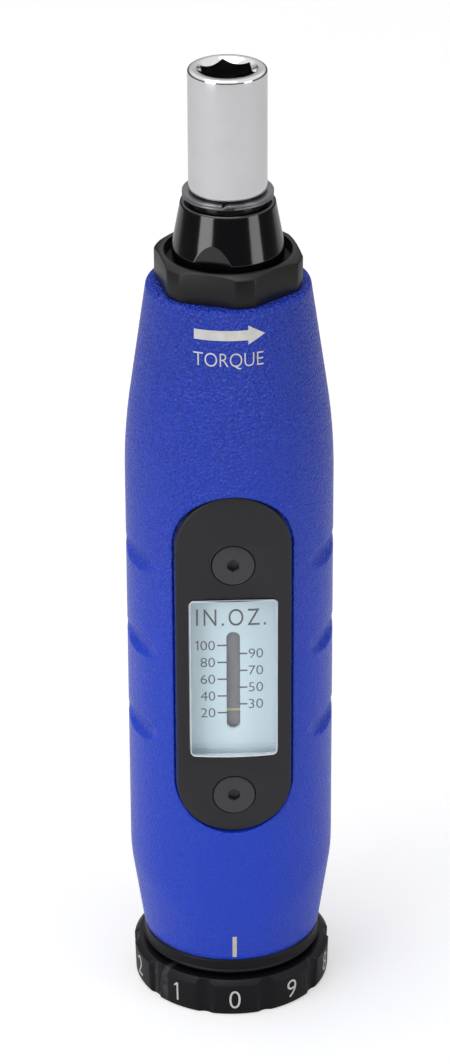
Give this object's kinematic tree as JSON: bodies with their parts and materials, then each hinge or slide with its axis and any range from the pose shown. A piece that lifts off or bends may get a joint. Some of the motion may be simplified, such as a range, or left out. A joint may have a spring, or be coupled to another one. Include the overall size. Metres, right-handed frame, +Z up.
{
  "type": "torque screwdriver",
  "caption": "Adjustable slipping torque screwdriver: blue tapered handle with a window scale, black setting dial below and a chrome hex bit socket on top.",
  "frame": {"origin": "centre of the setting dial's foot, where the tool stands", "axes": "+Z up along the tool's axis to the hex drive, -Y out of the window, +X to the right as the window is read"},
  "size_m": [0.0276, 0.027, 0.1333],
  "materials": {
    "blue_crinkle": "wrinkled blue powder coat on cast aluminium",
    "black_oxide": "black oxide, satin",
    "black_gloss": "polished black oxide",
    "bright_chrome": "bright chrome plate",
    "ring_steel": "grey phosphate",
    "magnet_nickel": "nickel plate",
    "black_anodised": "satin black anodised",
    "dial_black": "satin black anodised, engraved digits",
    "screw_steel": "black oxide, satin",
    "clear_lens": "clear",
    "scale_enamel": "pale blue-grey enamel",
    "grey_anodised": "grey anodised",
    "indicator_enamel": "yellow enamel",
    "ground_steel": "ground and hardened",
    "spring_steel": "oiled spring steel",
    "bearing_bronze": "sintered bronze",
    "black_rubber": "moulded rubber",
    "nylon": "natural nylon"
  },
  "bodies": {
    "handle": {"handle_body": "blue_crinkle", "front_nut": "black_oxide", "spindle_bushing": "bearing_bronze", "spindle_seal": "black_rubber", "thrust_race_front": "ground_steel", "thrust_balls": "ground_steel", "bezel_plate": "black_anodised", "bezel_screw_lower": "screw_steel", "bezel_screw_upper": "screw_steel", "window_lens": "clear_lens", "scale_plate": "scale_enamel", "base_collar": "black_anodised", "click_ball": "ground_steel", "click_spring": "spring_steel", "thrust_washer": "bearing_bronze", "main_spring": "spring_steel"},
    "driver": {"output_spindle": "black_gloss", "cam_plate": "ground_steel", "cam_screw": "screw_steel", "thrust_race_rear": "ground_steel", "bit_holder": "bright_chrome", "bit_magnet": "magnet_nickel", "retaining_ring": "ring_steel"},
    "clutch": {"ball_carrier": "ground_steel", "clutch_balls": "ground_steel", "carrier_pin_left": "ground_steel", "carrier_pin_right": "ground_steel", "spring_washer": "ground_steel"},
    "dial": {"setting_dial": "dial_black", "adjusting_screw": "screw_steel", "dial_screw": "screw_steel", "screw_retainer": "spring_steel", "dial_washer": "nylon"},
    "spring_cup": {"spring_cup": "grey_anodised", "indicator_ring": "indicator_enamel", "seat_pin": "ground_steel"}
  },
  "joints": [
    {"name": "drive_turn", "type": "hinge", "parent": "handle", "child": "driver", "pos_m": [0, 0, 0.1], "axis": [0, 0, 1], "continuous": true},
    {"name": "clutch_lift", "type": "slide", "parent": "handle", "child": "clutch", "axis": [0, 0, -1], "range_m": [0, 0.00075], "stiffness_N_per_m": 10000, "springref_m": -0.0026},
    {"name": "setting_turn", "type": "hinge", "parent": "handle", "child": "dial", "pos_m": [0, 0, 0], "axis": [0, 0, 1], "range_deg": [0, 2880]},
    {"name": "cup_rise", "type": "slide", "parent": "handle", "child": "spring_cup", "axis": [0, 0, 1], "range_m": [0, 0.01016], "deforming": ["main_spring"]}
  ],
  "couplings": [
    {"joint": "cup_rise", "follows": "setting_turn", "m_per_rad": 0.00020213}
  ]
}
